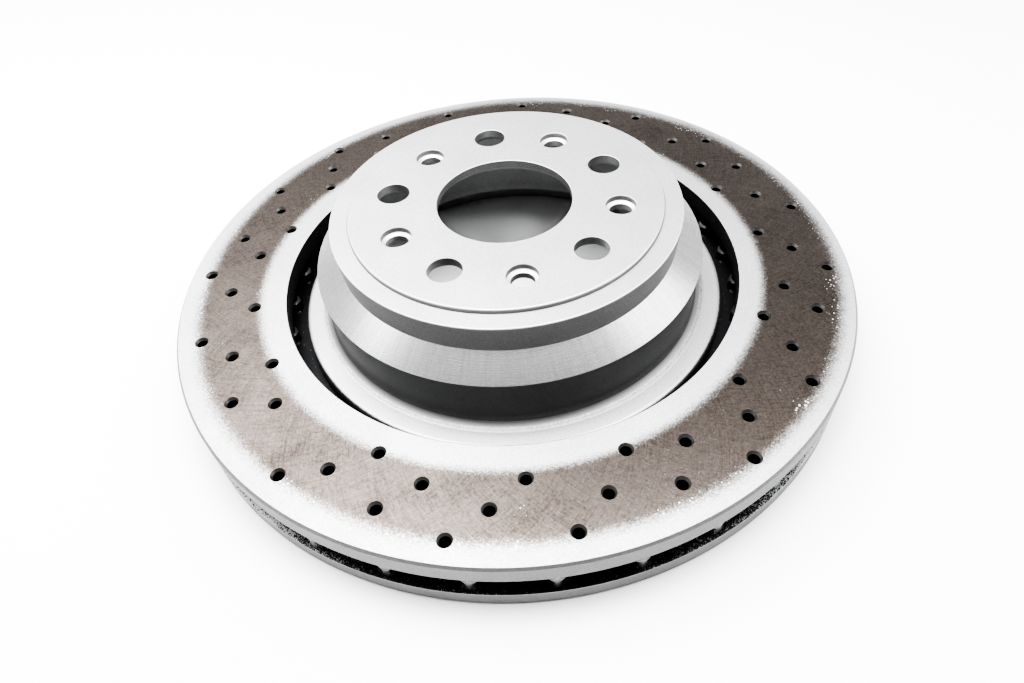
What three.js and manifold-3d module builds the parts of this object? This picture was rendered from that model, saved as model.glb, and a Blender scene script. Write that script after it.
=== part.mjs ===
// A ventilated, cross-drilled brake disc with a tall hat, the kind that also holds a parking-brake
// drum inside its hat. Millimetres. +Z is the disc's axis and points to the wheel side. The origin is
// on the axis, in the plane that the inboard friction face lies in.
//
// The real disc is one iron casting. Each mesh below is one region of that casting, with a name of its
// own, and neighbouring regions keep the small gap SEAM between them.
import * as THREE from "three";
import { mergeVertices } from "three/addons/utils/BufferGeometryUtils.js";
import Module from "manifold-3d";

const wasm = await Module();
wasm.setup();

// ---- Driving dimensions -------------------------------------------------------------------------

// Friction ring
const DISC_DIAMETER = 365;
const OUTBOARD_PLATE = 10.5; // thickness of the plate on the wheel side
const VENT_GAP = 12.5; // height of the air channels
const INBOARD_PLATE = 9; // thickness of the plate on the suspension side
const RIM_CHAMFER = 0.85;
const INLET_GAP = 6.7; // ring-shaped air inlet between the hat's foot and the outboard plate
const PLATE_BORE_CHAMFER = 0.6;

// Hat
const HAT_RISE = 42; // from the outboard friction face up to the wheel mounting face
const FACE_MARGIN = 22; // mounting face beyond the bolt circle
const SHOULDER_WIDTH = 9.6; // lower ledge around the mounting face
const FACE_STEP = 2; // how far the mounting face stands above the shoulder
const FLANGE_THICKNESS = 7.2;
const BARREL_TAPER = 1.4; // the hat's wall loses this much radius down to the cone
const CONE_TOP_RISE = 24.7; // the machined cone's upper edge, above the outboard friction face
const CONE_BOTTOM_RISE = 15.1; // and its lower edge
const CONE_LIP = 2.2; // how far the cone's lower edge overhangs the neck
const INNER_CONE_DROP = 4; // the inner cone starts this far below the outer one
const EDGE_BREAK = 0.8;

// Parking-brake drum, neck and foot
const DRUM_DIAMETER = 190;
const NECK_WALL = 7;
const NECK_FILLET = 6;
const FOOT_WIDTH = 15.5; // from the neck's wall out to the foot's edge
const FOOT_RISE = 18.4; // the foot's upper face, above the inboard friction face
const FOOT_ROUNDING = 2;
const MOUTH_WIDENING = 9; // the drum's open end flares by this much in radius
const MOUTH_DEPTH = 12;
const INBOARD_RELIEF = 1; // the hat's lower end stays this far above the inboard friction face

// Wheel mounting
const CENTRE_BORE = 70.4;
const BORE_EDGE_BREAK = 0.5;
const BORE_REAR_CHAMFER = 3;
const BOLT_CIRCLE = 120;
const HOLE_PAIRS = 5; // plain and stepped holes take turns around the bolt circle
const FIRST_PLAIN_HOLE_DEG = 94.5;
const PLAIN_HOLE = 17.2;
const PLAIN_HOLE_REAR_CHAMFER = 2.6;
const STEPPED_MOUTH = 15.5;
const STEPPED_MOUTH_DEPTH = 3.1;
const STEPPED_CONE_DEPTH = 1;
const STEPPED_THROUGH = 11.8;

// Vanes
const VANE_COUNT = 31;
const FIRST_VANE_DEG = 4.9;
const VANE_THICKNESS = 5;
const VANE_INNER_REACH = 1.1; // past the outboard plate's bore
const VANE_OUTER_SETBACK = 1.6; // from the rim

// Drilling: a group of holes that repeats around the ring, stated in vane pitches from the group's
// start, and in rows from 0, nearest the bore, to 1, nearest the rim
const DRILL_DIAMETER = 5.2;
const DRILL_MOUTH = 7;
const COUNTERSINK_DEPTH = 1.5;
const INNER_ROW_SETBACK = 14.3; // innermost row's circle, from the plate's bore
const OUTER_ROW_SETBACK = 11.5; // outermost row's circle, from the rim
const FIRST_DRILL_DEG = 229.1;
const DRILL_GROUP_PITCHES = 4;
const DRILL_GROUP = [
  { pitch: 0, row: 0.95 },
  { pitch: 0.52, row: 0.52 },
  { pitch: 1.04, row: 0 },
  { pitch: 1.45, row: 0.77 },
  { pitch: 1.91, row: 0.27 },
  { pitch: 2.43, row: 1 },
  { pitch: 2.92, row: 0.54 },
  { pitch: 3.43, row: 0.1 },
];
const OMITTED_DRILLING = 61; // the last position in the run is left undrilled

// Clearance and roundness
const SEAM = 0.3;
const ROUND_SEGMENTS = 72;
const HOLE_SEGMENTS = 16;
const DRILL_SEGMENTS = 8;
const FILLET_STEPS = 3;
const OVERCUT = 1; // how far a cutter reaches past the face it leaves by

// ---- Derived sizes ------------------------------------------------------------------------------

const discR = DISC_DIAMETER / 2;
const ventFloor = INBOARD_PLATE;
const ventCeiling = ventFloor + VENT_GAP;
const outboardFace = ventCeiling + OUTBOARD_PLATE;
const hatTop = outboardFace + HAT_RISE;
const boltCircleR = BOLT_CIRCLE / 2;
const faceR = boltCircleR + FACE_MARGIN;
const hatR = faceR + SHOULDER_WIDTH;
const shoulderZ = hatTop - FACE_STEP;
const flangeUnderside = hatTop - FLANGE_THICKNESS;
const barrelInnerR = faceR + SEAM;
const barrelFootR = hatR - BARREL_TAPER;
const drumR = DRUM_DIAMETER / 2;
const neckR = drumR + NECK_WALL;
const coneR = neckR + CONE_LIP;
const coneTop = outboardFace + CONE_TOP_RISE;
const coneBottom = outboardFace + CONE_BOTTOM_RISE;
const footR = neckR + FOOT_WIDTH;
const filletR = neckR + NECK_FILLET;
const plateBoreR = footR + INLET_GAP;
const boreR = CENTRE_BORE / 2;
const vanePitchDeg = 360 / VANE_COUNT;

// ---- Helpers ------------------------------------------------------------------------------------

const rad = THREE.MathUtils.degToRad;

// A closed geometry as a manifold solid.
function solidOf(geometry) {
  geometry.deleteAttribute("normal");
  geometry.deleteAttribute("uv");
  const merged = mergeVertices(geometry, 1e-3);
  return new wasm.Manifold(
    new wasm.Mesh({
      numProp: 3,
      vertProperties: merged.attributes.position.array,
      triVerts: new Uint32Array(merged.index.array),
    }),
  );
}

// A manifold solid as a three.js geometry.
function geometryOf(solid) {
  const mesh = solid.getMesh();
  const geometry = new THREE.BufferGeometry();
  geometry.setAttribute("position", new THREE.BufferAttribute(mesh.vertProperties, 3));
  geometry.setIndex(new THREE.BufferAttribute(mesh.triVerts, 1));
  const flat = geometry.toNonIndexed();
  flat.computeVertexNormals();
  return flat;
}

// Turns a profile of [radius, z] points about the Z axis. The points run upwards on the outside.
function turned(profile, segments) {
  const points = profile.map(([r, z]) => new THREE.Vector2(r, z));
  return new THREE.LatheGeometry(points, segments).rotateX(Math.PI / 2);
}

// A ring from a profile that closes on itself.
function ring(profile, segments = ROUND_SEGMENTS) {
  return solidOf(turned([...profile, profile[0]], segments));
}

// Points on a quarter arc about a centre, from one angle to another, in degrees.
function arc(centreR, centreZ, radius, fromDeg, toDeg) {
  const points = [];
  for (let i = 0; i <= FILLET_STEPS; i += 1) {
    const a = rad(fromDeg + ((toDeg - fromDeg) * i) / FILLET_STEPS);
    points.push([centreR + radius * Math.cos(a), centreZ + radius * Math.sin(a)]);
  }
  return points;
}

// A round cutter from a profile that starts and ends on the axis, moved to a place on a circle.
function cutter(profile, segments, circleR, angleDeg) {
  const geometry = turned(profile, segments);
  const a = rad(angleDeg);
  geometry.translate(circleR * Math.cos(a), circleR * Math.sin(a), 0);
  return solidOf(geometry);
}

// The radius that a 45 degree chamfer's cone has where it leaves the face by OVERCUT.
const flared = (radius) => radius + OVERCUT;

// ---- Hat ----------------------------------------------------------------------------------------

// The disc that the wheel is clamped against, with the bore for the hub's spigot.
function mountingFlange() {
  let flange = ring([
    [boreR + BORE_REAR_CHAMFER, flangeUnderside],
    [faceR, flangeUnderside],
    [faceR, hatTop - EDGE_BREAK],
    [faceR - EDGE_BREAK, hatTop],
    [boreR + BORE_EDGE_BREAK, hatTop],
    [boreR, hatTop - BORE_EDGE_BREAK],
    [boreR, flangeUnderside + BORE_REAR_CHAMFER],
  ]);
  const pairPitch = 360 / HOLE_PAIRS;
  for (let i = 0; i < HOLE_PAIRS; i += 1) {
    const plainDeg = FIRST_PLAIN_HOLE_DEG + i * pairPitch;
    flange = flange.subtract(plainHole(plainDeg));
    flange = flange.subtract(steppedHole(plainDeg + pairPitch / 2));
  }
  return flange;
}

// A through hole with a deep chamfer on the hub side.
function plainHole(angleDeg) {
  const r = PLAIN_HOLE / 2;
  const rearR = r + PLAIN_HOLE_REAR_CHAMFER;
  const profile = [
    [0, flangeUnderside - OVERCUT],
    [flared(rearR), flangeUnderside - OVERCUT],
    [r, flangeUnderside + PLAIN_HOLE_REAR_CHAMFER],
    [r, hatTop + OVERCUT],
    [0, hatTop + OVERCUT],
  ];
  return cutter(profile, HOLE_SEGMENTS, boltCircleR, angleDeg);
}

// A hole with a wide mouth on the wheel side, a short cone and a narrower way through.
function steppedHole(angleDeg) {
  const mouthR = STEPPED_MOUTH / 2;
  const throughR = STEPPED_THROUGH / 2;
  const coneStart = hatTop - STEPPED_MOUTH_DEPTH;
  const profile = [
    [0, flangeUnderside - OVERCUT],
    [throughR, flangeUnderside - OVERCUT],
    [throughR, coneStart - STEPPED_CONE_DEPTH],
    [mouthR, coneStart],
    [mouthR, hatTop + OVERCUT],
    [0, hatTop + OVERCUT],
  ];
  return cutter(profile, HOLE_SEGMENTS, boltCircleR, angleDeg);
}

// The hat's side wall: shoulder, slightly tapered barrel and machined cone.
function hatBarrel() {
  return ring([
    [coneR, coneBottom],
    [barrelFootR, coneTop],
    [hatR, shoulderZ - EDGE_BREAK],
    [hatR - EDGE_BREAK, shoulderZ],
    [barrelInnerR, shoulderZ],
    [barrelInnerR, coneTop - INNER_CONE_DROP],
    [drumR, coneBottom],
  ]);
}

// The undercut neck outside and the parking-brake drum inside, with the flared mouth.
function drumWall() {
  const filletTop = FOOT_RISE + NECK_FILLET;
  return ring([
    [drumR + MOUTH_WIDENING, INBOARD_RELIEF],
    [filletR, INBOARD_RELIEF],
    ...arc(filletR, filletTop, NECK_FILLET, 270, 180),
    [neckR, coneBottom - SEAM],
    [drumR, coneBottom - SEAM],
    [drumR, INBOARD_RELIEF + MOUTH_DEPTH],
  ]);
}

// The flange at the hat's foot, which the inboard plate grows out of.
function hatFoot() {
  const roundedR = footR - FOOT_ROUNDING;
  return ring([
    [filletR + SEAM, INBOARD_RELIEF],
    [footR, INBOARD_RELIEF],
    ...arc(roundedR, FOOT_RISE - FOOT_ROUNDING, FOOT_ROUNDING, 0, 90),
    [filletR + SEAM, FOOT_RISE],
  ]);
}

// ---- Friction ring ------------------------------------------------------------------------------

// All drillings as one cutter that passes both plates, with a countersink at each friction face.
function drillings() {
  const mouthR = DRILL_MOUTH / 2;
  const drillR = DRILL_DIAMETER / 2;
  const wideR = mouthR + (OVERCUT * (mouthR - drillR)) / COUNTERSINK_DEPTH;
  const profile = [
    [0, -OVERCUT],
    [wideR, -OVERCUT],
    [drillR, COUNTERSINK_DEPTH],
    [drillR, outboardFace - COUNTERSINK_DEPTH],
    [wideR, outboardFace + OVERCUT],
    [0, outboardFace + OVERCUT],
  ];
  const innerRow = plateBoreR + INNER_ROW_SETBACK;
  const outerRow = discR - OUTER_ROW_SETBACK;
  const cutters = [];
  for (let i = 0; i < 2 * VANE_COUNT; i += 1) {
    if (i === OMITTED_DRILLING) continue;
    const group = Math.floor(i / DRILL_GROUP.length);
    const hole = DRILL_GROUP[i % DRILL_GROUP.length];
    const pitches = group * DRILL_GROUP_PITCHES + hole.pitch;
    const circleR = innerRow + hole.row * (outerRow - innerRow);
    cutters.push(cutter(profile, DRILL_SEGMENTS, circleR, FIRST_DRILL_DEG + pitches * vanePitchDeg));
  }
  return cutters.reduce((all, one) => all.add(one));
}

function outboardPlate(holes) {
  return ring([
    [plateBoreR, ventCeiling],
    [discR, ventCeiling],
    [discR, outboardFace - RIM_CHAMFER],
    [discR - RIM_CHAMFER, outboardFace],
    [plateBoreR + PLATE_BORE_CHAMFER, outboardFace],
    [plateBoreR, outboardFace - PLATE_BORE_CHAMFER],
  ]).subtract(holes);
}

function inboardPlate(holes) {
  const innerR = footR + SEAM;
  return ring([
    [innerR, 0],
    [discR - RIM_CHAMFER, 0],
    [discR, RIM_CHAMFER],
    [discR, ventFloor],
    [innerR, ventFloor],
  ]).subtract(holes);
}

// A radial vane with round ends, lying along +X.
function vaneGeometry() {
  const half = VANE_THICKNESS / 2;
  const start = plateBoreR - VANE_INNER_REACH + half;
  const end = discR - VANE_OUTER_SETBACK - half;
  const outline = new THREE.Shape();
  outline.moveTo(start, -half);
  outline.lineTo(end, -half);
  outline.absarc(end, 0, half, -Math.PI / 2, Math.PI / 2, false);
  outline.lineTo(start, half);
  outline.absarc(start, 0, half, Math.PI / 2, (3 * Math.PI) / 2, false);
  const height = VENT_GAP - 2 * SEAM;
  return new THREE.ExtrudeGeometry(outline, {
    depth: height,
    bevelEnabled: false,
    curveSegments: FILLET_STEPS,
  });
}

// ---- Assembly -----------------------------------------------------------------------------------

const coating = () => new THREE.MeshStandardMaterial({ color: 0xd2d3d4, roughness: 0.45, metalness: 0.6 });
const groundIron = () => new THREE.MeshStandardMaterial({ color: 0x8d8179, roughness: 0.4, metalness: 0.9 });
const castIron = () => new THREE.MeshStandardMaterial({ color: 0x4a4a4b, roughness: 0.75, metalness: 0.5 });
const turnedIron = () => new THREE.MeshStandardMaterial({ color: 0xc4c4c2, roughness: 0.35, metalness: 0.85 });

function named(name, geometry, material) {
  const mesh = new THREE.Mesh(geometry, material);
  mesh.name = name;
  return mesh;
}

const disc = new THREE.Group();
disc.name = "brake_disc";

const hat = new THREE.Group();
hat.add(named("mounting_flange", geometryOf(mountingFlange()), coating()));
hat.add(named("hat_barrel", geometryOf(hatBarrel()), turnedIron()));
hat.add(named("drum_wall", geometryOf(drumWall()), coating()));
hat.add(named("hat_foot", geometryOf(hatFoot()), coating()));
disc.add(hat);

const frictionRing = new THREE.Group();
const holes = drillings();
frictionRing.add(named("outboard_plate", geometryOf(outboardPlate(holes)), groundIron()));
frictionRing.add(named("inboard_plate", geometryOf(inboardPlate(holes)), groundIron()));
for (let i = 0; i < VANE_COUNT; i += 1) {
  const name = "vane_" + String(i + 1).padStart(2, "0");
  const vane = named(name, vaneGeometry(), castIron());
  vane.position.z = ventFloor + SEAM;
  vane.rotation.z = rad(FIRST_VANE_DEG + i * vanePitchDeg);
  frictionRing.add(vane);
}
disc.add(frictionRing);

export default disc;
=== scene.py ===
"""Looks of a ventilated, cross-drilled brake disc with a tall hat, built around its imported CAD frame.

The real disc is one iron casting. The frame holds its regions as separate nodes, and each region
gets a fine piece here that stands for its node: the mounting flange, the hat's barrel, the drum
wall, the hat's foot, the two friction plates and the vanes between them.
"""
import logging
import math
from collections.abc import Callable, Iterator, Sequence
from dataclasses import dataclass, field
from enum import Enum

import bmesh
import bpy
from mathutils import Matrix, Vector


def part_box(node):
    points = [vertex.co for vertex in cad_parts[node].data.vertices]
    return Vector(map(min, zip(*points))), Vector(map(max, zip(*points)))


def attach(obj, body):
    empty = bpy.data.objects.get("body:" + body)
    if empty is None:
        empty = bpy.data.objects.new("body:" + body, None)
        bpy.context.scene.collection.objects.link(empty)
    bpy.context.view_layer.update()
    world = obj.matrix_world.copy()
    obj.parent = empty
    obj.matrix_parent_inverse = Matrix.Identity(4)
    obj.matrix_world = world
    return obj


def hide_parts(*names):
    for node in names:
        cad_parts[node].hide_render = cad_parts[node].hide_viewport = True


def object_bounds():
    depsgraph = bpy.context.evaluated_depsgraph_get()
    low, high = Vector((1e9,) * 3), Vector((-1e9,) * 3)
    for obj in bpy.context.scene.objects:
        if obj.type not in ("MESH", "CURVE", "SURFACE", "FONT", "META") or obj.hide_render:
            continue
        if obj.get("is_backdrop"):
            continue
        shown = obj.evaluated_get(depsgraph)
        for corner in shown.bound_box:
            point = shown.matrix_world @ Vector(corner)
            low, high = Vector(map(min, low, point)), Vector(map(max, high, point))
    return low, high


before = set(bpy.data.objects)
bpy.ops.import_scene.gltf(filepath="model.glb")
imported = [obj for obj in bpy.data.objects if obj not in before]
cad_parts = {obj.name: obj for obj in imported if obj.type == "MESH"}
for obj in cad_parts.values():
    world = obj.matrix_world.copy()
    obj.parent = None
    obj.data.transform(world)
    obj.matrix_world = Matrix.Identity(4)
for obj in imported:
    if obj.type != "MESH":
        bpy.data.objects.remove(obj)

CAD_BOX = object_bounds()
BODY = "root"
MM = 0.001
log = logging.getLogger("brake_disc")


# ---- Shader building ----------------------------------------------------------------------------


class Number:
    """A number that a socket gives. Python's operators on it add Math nodes."""

    def __init__(self, shader: "Shader", socket: bpy.types.NodeSocket) -> None:
        """Keeps the socket and the shader that it belongs to."""
        self.shader = shader
        self.socket = socket

    def math(self, operation: str, *others: "float | Number", clamp: bool = False) -> "Number":
        """Adds one Math node.

        Args:
            operation: The Math node's operation.
            others: Its second and third values.
            clamp: Whether the result is held between 0 and 1.

        Returns:
            The result as a new number.
        """
        settings = {"operation": operation, "use_clamp": clamp}
        inputs = dict(enumerate((self, *others)))
        return Number(self.shader, self.shader.node("ShaderNodeMath", settings, inputs).outputs[0])

    def __add__(self, other: "float | Number") -> "Number":
        """Sum."""
        return self.math("ADD", other)

    __radd__ = __add__

    def __mul__(self, other: "float | Number") -> "Number":
        """Product."""
        return self.math("MULTIPLY", other)

    __rmul__ = __mul__

    def __sub__(self, other: "float | Number") -> "Number":
        """Difference."""
        return self.math("SUBTRACT", other)

    def __rsub__(self, other: float) -> "Number":
        """A plain number less this one."""
        return self * -1.0 + other

    def __truediv__(self, other: "float | Number") -> "Number":
        """Quotient."""
        return self.math("DIVIDE", other)

    def __pow__(self, other: "float | Number") -> "Number":
        """Power."""
        return self.math("POWER", other)

    def clamped(self) -> "Number":
        """This number held between 0 and 1."""
        return self.math("ADD", 0.0, clamp=True)

    def step(self, low: float, high: float, smooth: bool = True) -> "Number":
        """Goes from 0 at low to 1 at high.

        Args:
            low: The value that gives 0.
            high: The value that gives 1. It may be under low, which turns the step round.
            smooth: Whether the ends are eased.

        Returns:
            The step as a new number.
        """
        settings = {"interpolation_type": "SMOOTHSTEP" if smooth else "LINEAR", "clamp": True}
        inputs = {"Value": self, "From Min": low, "From Max": high, "To Min": 0.0, "To Max": 1.0}
        return Number(self.shader, self.shader.node("ShaderNodeMapRange", settings, inputs).outputs[0])


class Shader:
    """A node tree that is written as calls and expressions."""

    def __init__(self, tree: bpy.types.NodeTree) -> None:
        """Empties the tree."""
        self.tree = tree
        tree.nodes.clear()

    def node(
        self, kind: str, settings: dict[str, object] | None = None, inputs: dict | None = None
    ) -> bpy.types.Node:
        """Adds a node.

        Args:
            kind: The node's type, such as ShaderNodeTexNoise.
            settings: Its own properties, set before its sockets.
            inputs: What each socket holds, by name or place: a plain value, a number or a socket.

        Returns:
            The node.
        """
        made = self.tree.nodes.new(kind)
        for key, value in (settings or {}).items():
            setattr(made, key, value)
        for key, value in (inputs or {}).items():
            if isinstance(value, Number):
                value = value.socket
            if isinstance(value, bpy.types.NodeSocket):
                self.tree.links.new(value, made.inputs[key])
            else:
                made.inputs[key].default_value = value
        return made

    def number(self, kind: str, settings: dict[str, object], inputs: dict, output: str = "") -> Number:
        """Adds a node and gives one of its outputs as a number, the first one unless named."""
        made = self.node(kind, settings, inputs)
        return Number(self, made.outputs[output] if output else made.outputs[0])

    def noise(
        self, vector: bpy.types.NodeSocket, scale: float, detail: float = 2.0, rough: float = 0.5
    ) -> Number:
        """Fractal noise from 0 to 1 over a place, scale times finer than a metre."""
        inputs = {"Vector": vector, "Scale": scale, "Detail": detail, "Roughness": rough}
        return self.number("ShaderNodeTexNoise", {"noise_dimensions": "3D"}, inputs, "Fac")

    def cells(self, vector: bpy.types.NodeSocket, scale: float) -> Number:
        """The distance to the nearest of many scattered points, scale times finer than a metre."""
        inputs = {"Vector": vector, "Scale": scale}
        return self.number("ShaderNodeTexVoronoi", {"feature": "F1"}, inputs, "Distance")

    def combine(self, x: Number, y: Number, z: Number) -> bpy.types.NodeSocket:
        """A vector from three numbers."""
        return self.node("ShaderNodeCombineXYZ", {}, {0: x, 1: y, 2: z}).outputs[0]

    def mix_colour(
        self, factor: Number, first: "Sequence[float] | bpy.types.NodeSocket",
        second: "Sequence[float] | bpy.types.NodeSocket",
    ) -> bpy.types.NodeSocket:
        """A colour between two, each a plain colour or a socket."""
        settings = {"data_type": "RGBA", "blend_type": "MIX"}
        made = self.node("ShaderNodeMix", settings, {"Factor": factor})
        for place, colour in ((6, first), (7, second)):
            if isinstance(colour, bpy.types.NodeSocket):
                self.tree.links.new(colour, made.inputs[place])
            else:
                made.inputs[place].default_value = (*colour, 1.0)
        return made.outputs[2]

    def bump(self, height: Number, distance: float) -> bpy.types.NodeSocket:
        """A normal from a height between 0 and 1 that stands for a distance in metres."""
        inputs = {"Height": height, "Distance": distance, "Strength": 1.0}
        return self.node("ShaderNodeBump", {}, inputs).outputs[0]


class Surface(Shader):
    """The node tree of one material, with the coordinates that the disc's finishes use."""

    def __init__(self, name: str) -> None:
        """Makes the material with its coordinates and the way that each spot faces."""
        self.material = bpy.data.materials.new(name)
        self.material.use_nodes = True
        super().__init__(self.material.node_tree)
        self.place = self.node("ShaderNodeTexCoord").outputs["Object"]
        parts = self.node("ShaderNodeSeparateXYZ", {}, {0: self.place}).outputs
        self.x, self.y, self.z = (Number(self, part) for part in parts)
        self.radius = (self.x * self.x + self.y * self.y) ** 0.5
        self.angle = self.y.math("ARCTAN2", self.x)
        facing = self.node("ShaderNodeNewGeometry").outputs["True Normal"]
        tilt = [Number(self, part) for part in self.node("ShaderNodeSeparateXYZ", {}, {0: facing}).outputs]
        self.upright = tilt[2]
        self.outward = (tilt[0] * self.x + tilt[1] * self.y) / self.radius

    def finish(self, plain: dict[str, object], varying: dict[str, object]) -> bpy.types.Material:
        """Adds the Principled shader.

        Args:
            plain: Values that hold all over the surface.
            varying: Numbers, colours and normals that change over it.

        Returns:
            The finished material.
        """
        shader = self.node("ShaderNodeBsdfPrincipled", {}, {**plain, **varying})
        self.node("ShaderNodeOutputMaterial", {}, {"Surface": shader.outputs[0]})
        return self.material


# ---- Sizes that the frame gives -----------------------------------------------------------------


@dataclass(frozen=True)
class Levels:
    """Radii and heights of the disc that the frame's nodes give."""

    disc_r: float
    foot_r: float
    fillet_r: float
    cone_r: float
    face_r: float
    hat_top: float
    flange_underside: float
    shoulder: float
    cone_bottom: float
    foot_top: float
    relief: float
    outboard_face: float
    vent_ceiling: float
    vent_floor: float

    @classmethod
    def from_frame(cls) -> "Levels":
        """Reads them from the nodes' boxes."""
        boxes = {name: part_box(name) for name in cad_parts}
        low = {name: box[0] for name, box in boxes.items()}
        high = {name: box[1] for name, box in boxes.items()}
        return cls(
            disc_r=high["outboard_plate"].x,
            foot_r=high["hat_foot"].x,
            fillet_r=high["drum_wall"].x,
            cone_r=high["hat_barrel"].x,
            face_r=high["mounting_flange"].x,
            hat_top=high["mounting_flange"].z,
            flange_underside=low["mounting_flange"].z,
            shoulder=high["hat_barrel"].z,
            cone_bottom=low["hat_barrel"].z,
            foot_top=high["hat_foot"].z,
            relief=low["hat_foot"].z,
            outboard_face=high["outboard_plate"].z,
            vent_ceiling=low["outboard_plate"].z,
            vent_floor=high["inboard_plate"].z,
        )


# ---- Finishes -----------------------------------------------------------------------------------

Colour = tuple[float, float, float]
Span = tuple[float, float]  # the value that gives 0 and the value that gives 1 in a step


class Finish(Enum):
    """The disc's finishes. All but the drilled one are named as the record's material slots."""

    ZINC = "zinc_coating"
    TURNED = "turned_coating"
    GROUND = "ground_iron"
    CHANNEL = "cast_channel"
    DRILLED = "drilled_iron"


@dataclass(frozen=True)
class ZincCoating:
    """Sprayed silver zinc-flake coating: a metallic film with a fine grain of flakes.

    Painted shade darkens its upright walls, less on the hat's walls, in its bolt holes and in the drum's
    mouth; a painted dark reflection lies on the rim's chamfer and painted highlights on its other edges,
    and painted shade lies in the neck under the hat's cone and over the foot's rounded edge.
    """

    silver: Colour = (0.54, 0.543, 0.546)
    shade: Colour = (0.4, 0.402, 0.405)
    # Dark colour of the painted shade on walls, in the neck and over the foot's edge, and of the painted
    # dark reflection on the rim's chamfer.
    painted_dark: Colour = (0.07, 0.07, 0.07)
    # Colour of the painted highlight on rounded edges.
    bright: Colour = (0.68, 0.68, 0.68)
    facing_up: Span = (0.05, 0.6)
    facing_down: Span = (-0.8, -0.97)
    # How dark the painted shade on upright walls is, and how much it is eased in the bolt holes, on the
    # hat and in the drum's mouth.
    wall_painted_shade: float = 0.67
    bolt_holes_from: Span = (42 * MM, 48 * MM)
    bolt_holes_to: Span = (74 * MM, 70 * MM)
    hole_shade_relief: float = 0.6
    hat_shade_relief: float = 0.34
    mouth_shade_relief: float = 0.3
    mouth_height: float = 6 * MM
    # Rounded edges by their tilt: they take the painted highlight, and on the rim's chamfer the painted
    # dark reflection.
    edge_tilt_from: Span = (0.45, 0.62)
    edge_tilt_to: Span = (0.97, 0.86)
    rim: Span = (180 * MM, 181 * MM)
    # How dark the painted reflection on the rim's chamfer is.
    rim_painted_reflection: float = 0.5
    # Where the painted shade in the neck under the cone lies, and how dark it is.
    neck_inset: float = 2.2 * MM
    neck_inside: Span = (-3 * MM, -1 * MM)
    neck_top: Span = (0.3 * MM, -0.3 * MM)
    neck_bottom: Span = (-3 * MM, 0.0)
    undercut_painted_shade: float = 0.71
    undercut_reach: Span = (6.5 * MM, 3.0 * MM)
    undercut_ragged: float = 5.0 * MM
    # Where the painted shade over the foot's rounded edge lies, and how dark it is.
    foot_edge: Span = (-2.6 * MM, -0.52 * MM)
    foot_edge_ragged: float = 2.6 * MM
    foot_edge_tilt: Span = (0.98, 0.8)
    foot_edge_painted_shade: float = 0.9
    foot_outside: Span = (1.2 * MM, 0.8 * MM)
    ragged_scale: float = 760.0
    cloud_scale: float = 28.0
    cloud_share: float = 0.9
    flake_scale: float = 1900.0
    flake_share: float = 0.9
    grain_scale: float = 1140.0
    grain_share: float = 1.4
    shade_share: float = 0.1
    roughness: float = 0.5
    grain_roughness: float = 0.12
    cloud_roughness: float = 0.06
    grain_height: float = 0.02 * MM

    def build(self, levels: Levels) -> bpy.types.Material:
        """Makes the material."""
        s = Surface(Finish.ZINC.value)
        colour, roughness, height = self.layers(s)
        # Painted shade in the neck under the cone and over the foot's rounded edge.
        painted_shade = self._undercut(s, levels).math("MAXIMUM", self._shaded_foot_edge(s, levels))
        # Painted shade on upright walls, eased on the hat, in the bolt holes and in the drum's mouth.
        flat = s.upright.step(*self.facing_up).math("MAXIMUM", s.upright.step(*self.facing_down))
        wall_shade = (1.0 - flat) * (1.0 - self._wall_shade_relief(s, levels)) * self.wall_painted_shade
        colour = s.mix_colour(wall_shade.math("MAXIMUM", painted_shade), colour, self.painted_dark)
        edge = s.upright.step(*self.edge_tilt_from) * s.upright.step(*self.edge_tilt_to)
        # A painted dark reflection on the rim's chamfer.
        rim = s.radius.step(*self.rim)
        colour = s.mix_colour(edge * rim * self.rim_painted_reflection, colour, self.painted_dark)
        # A painted highlight on the other rounded edges.
        colour = s.mix_colour(edge * (1.0 - rim) * (1.0 - painted_shade), colour, self.bright)
        normal = s.bump(height, self.grain_height)
        varying = {"Base Color": colour, "Roughness": roughness, "Normal": normal}
        return s.finish({"Metallic": 1.0}, varying)

    def _wall_shade_relief(self, s: Surface, levels: Levels) -> Number:
        """How much less painted shade the walls of the hat, of its bolt holes and of the drum's mouth get
        than the rim's.
        """
        holes = s.radius.step(*self.bolt_holes_from) * s.radius.step(*self.bolt_holes_to)
        hat = s.radius.step(levels.foot_r, levels.cone_r)
        mouth = hat * s.z.step(levels.foot_top, levels.foot_top - self.mouth_height)
        return holes * self.hole_shade_relief + (1.0 - holes) * hat * self.hat_shade_relief + mouth * self.mouth_shade_relief

    def _undercut(self, s: Surface, levels: Levels) -> Number:
        """Painted shade in the neck under the hat's cone, down to a ragged edge."""
        past_neck = s.radius - (levels.cone_r - self.neck_inset)
        beside = (past_neck + self._ragged(s) * self.undercut_ragged).step(*self.undercut_reach)
        below = (s.z - levels.cone_bottom).step(*self.neck_top)
        above = (s.z - levels.foot_top).step(*self.neck_bottom)
        return beside * past_neck.step(*self.neck_inside) * below * above * self.undercut_painted_shade

    def _shaded_foot_edge(self, s: Surface, levels: Levels) -> Number:
        """Painted shade, frayed, over the rounded edge of the hat's foot, which darkens the line between
        the foot and the plate.
        """
        past_foot = s.radius - levels.foot_r
        edge = (past_foot + self._ragged(s) * self.foot_edge_ragged).step(*self.foot_edge)
        own = past_foot.step(*self.foot_outside) * (s.z - levels.relief).step(0.0, MM)
        return edge * own * s.upright.step(*self.foot_edge_tilt) * self.foot_edge_painted_shade

    def _ragged(self, s: Surface) -> Number:
        """Coarse noise about 0 that frays an edge."""
        return s.noise(s.place, self.ragged_scale, detail=4.0, rough=0.75) - 0.5

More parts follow.
